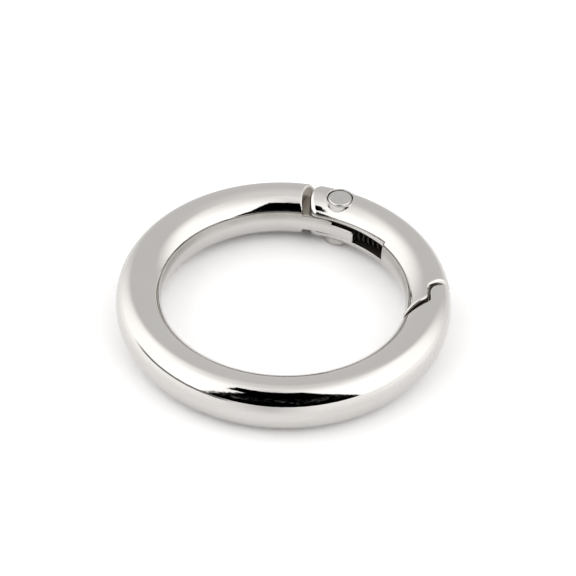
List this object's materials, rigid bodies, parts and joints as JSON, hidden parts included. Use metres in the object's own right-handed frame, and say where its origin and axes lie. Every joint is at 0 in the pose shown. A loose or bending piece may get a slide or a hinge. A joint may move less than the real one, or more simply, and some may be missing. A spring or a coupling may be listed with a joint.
{
  "type": "spring gate ring",
  "caption": "Round spring gate ring: a C-shaped cast body closed by a curved gate that swings inward on a rivet and springs shut, for clipping straps, keys or cords",
  "frame": {"origin": "centre of the ring's eye, at the middle of its height", "axes": "+Z along the eye's axis, up when the ring lies flat; +X towards the gate's latch end; the gate's rivet is anticlockwise from there, seen from +Z"},
  "size_m": [0.0342, 0.0342, 0.0054],
  "materials": {
    "nickel_casting": "polished zinc casting with bright nickel plating",
    "nickel_rivet": "nickel plated, head dressed flat",
    "spring_steel": "drawn wire, oil dark"
  },
  "bodies": {
    "ring": {"ring_body": "nickel_casting"},
    "gate": {"gate": "nickel_casting", "pivot_rivet": "nickel_rivet", "gate_spring": "spring_steel"}
  },
  "joints": [
    {"name": "gate_hinge", "type": "hinge", "parent": "ring", "child": "gate", "pos_m": [0.0057, 0.01344, 0], "axis": [0, 0, -1], "range_deg": [0, 27], "stiffness_Nm_per_rad": 0.02, "springref_deg": -22.92, "deforming": ["gate_spring"]}
  ]
}
